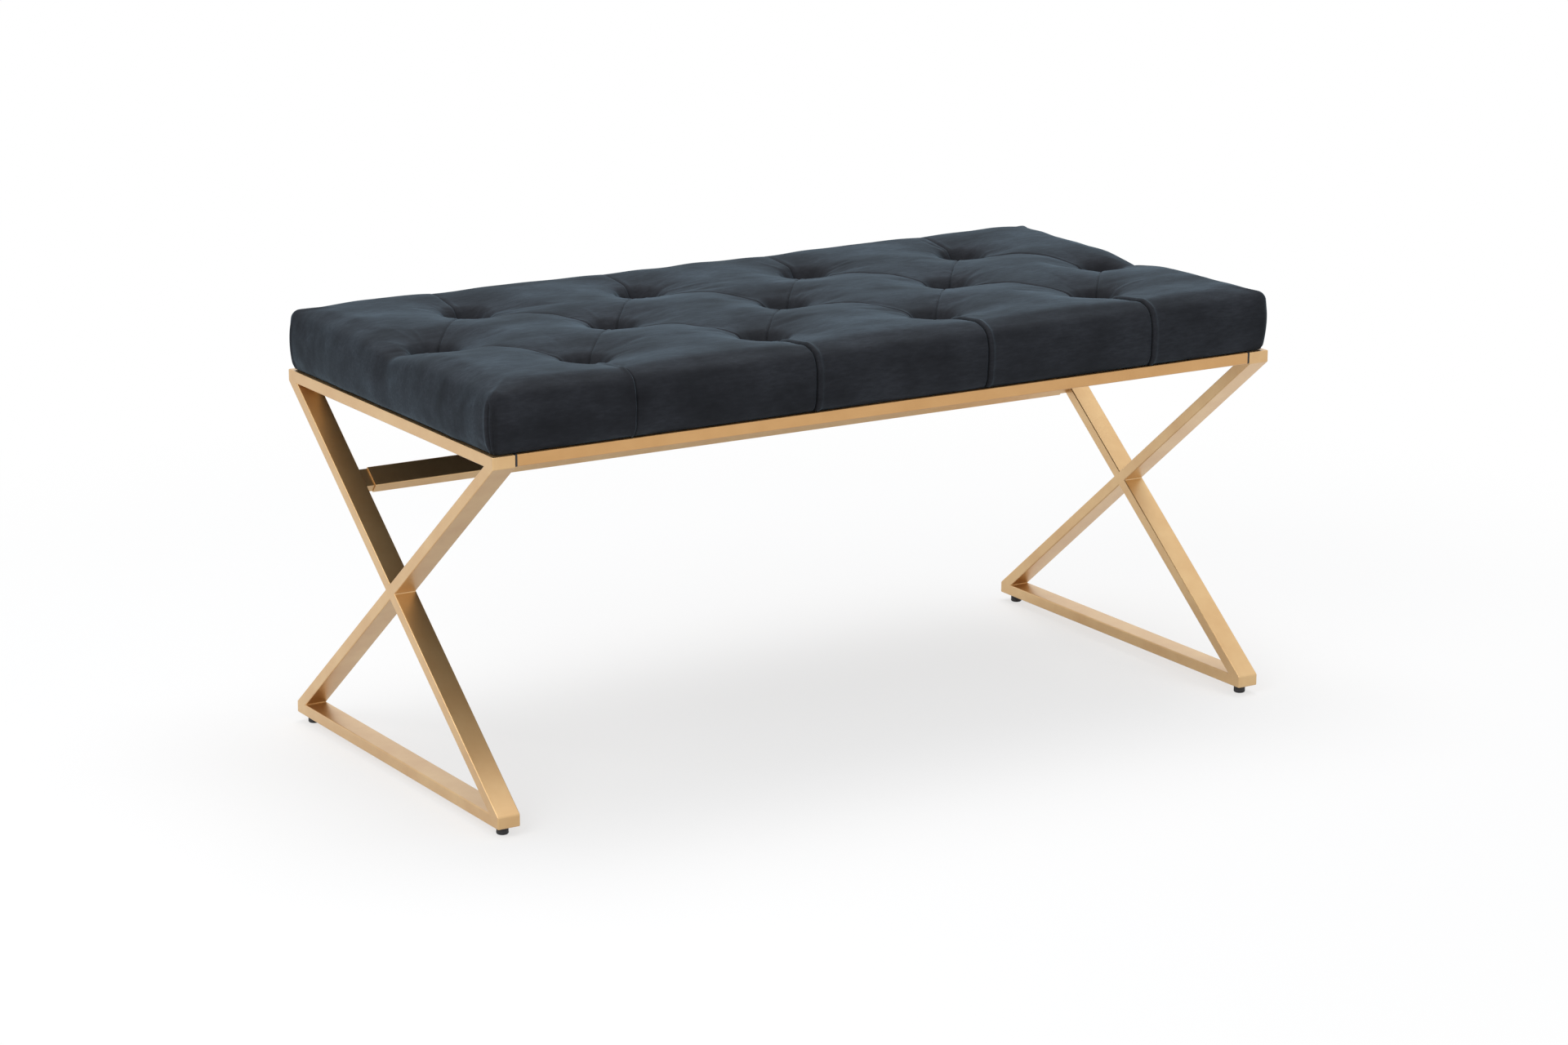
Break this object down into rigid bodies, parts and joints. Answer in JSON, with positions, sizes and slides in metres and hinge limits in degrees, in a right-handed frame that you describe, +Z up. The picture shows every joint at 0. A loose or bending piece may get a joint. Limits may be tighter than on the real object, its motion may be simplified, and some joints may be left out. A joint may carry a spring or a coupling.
{
  "type": "upholstered bench",
  "caption": "Bench with a diamond-tufted velvet seat on X-shaped gold steel tube frames joined by rails and a rear stretcher, standing on screw-in levelling glides.",
  "frame": {"origin": "on the floor under the middle of the seat", "axes": "+X along the bench, -Y to its front, +Z up"},
  "size_m": [0.9802, 0.4762, 0.466],
  "materials": {
    "gold_steel": "satin champagne-gold plating on steel tube",
    "velvet": "short-pile velvet, dark blue-grey",
    "foam": "open-cell polyurethane foam",
    "plywood": "raw plywood",
    "dust_cloth": "black non-woven cloth",
    "black_plastic": "moulded black polyamide",
    "zinc_steel": "zinc-plated steel",
    "twine": "waxed nylon twine"
  },
  "bodies": {
    "frame": {"left_top_bar": "gold_steel", "left_bottom_bar": "gold_steel", "left_long_brace": "gold_steel", "left_upper_rear_brace": "gold_steel", "left_lower_front_brace": "gold_steel", "left_frame_end_caps": "gold_steel", "left_stretcher_stub": "gold_steel", "right_top_bar": "gold_steel", "right_bottom_bar": "gold_steel", "right_long_brace": "gold_steel", "right_upper_rear_brace": "gold_steel", "right_lower_front_brace": "gold_steel", "right_frame_end_caps": "gold_steel", "right_stretcher_stub": "gold_steel", "front_rail": "gold_steel", "front_rail_plugs": "black_plastic", "rear_rail": "gold_steel", "rear_rail_plugs": "black_plastic", "stretcher": "gold_steel", "glide_nuts": "zinc_steel", "stretcher_screws": "zinc_steel", "seat_bolts": "zinc_steel", "tee_nuts": "zinc_steel", "rail_screws": "zinc_steel", "tuft_anchors": "zinc_steel", "seat_board": "plywood", "foam_pad": "foam", "velvet_cover": "velvet", "dust_cover": "dust_cloth", "tuft_ties": "twine"},
    "front_left_foot": {"front_left_glide": "black_plastic", "front_left_stud": "zinc_steel"},
    "front_right_foot": {"front_right_glide": "black_plastic", "front_right_stud": "zinc_steel"},
    "rear_left_foot": {"rear_left_glide": "black_plastic", "rear_left_stud": "zinc_steel"},
    "rear_right_foot": {"rear_right_glide": "black_plastic", "rear_right_stud": "zinc_steel"}
  },
  "joints": [
    {"name": "front_left_levelling", "type": "slide", "parent": "frame", "child": "front_left_foot", "axis": [0, 0, -1], "range_m": [0, 0.006]},
    {"name": "front_right_levelling", "type": "slide", "parent": "frame", "child": "front_right_foot", "axis": [0, 0, -1], "range_m": [0, 0.006]},
    {"name": "rear_left_levelling", "type": "slide", "parent": "frame", "child": "rear_left_foot", "axis": [0, 0, -1], "range_m": [0, 0.006]},
    {"name": "rear_right_levelling", "type": "slide", "parent": "frame", "child": "rear_right_foot", "axis": [0, 0, -1], "range_m": [0, 0.006]}
  ]
}
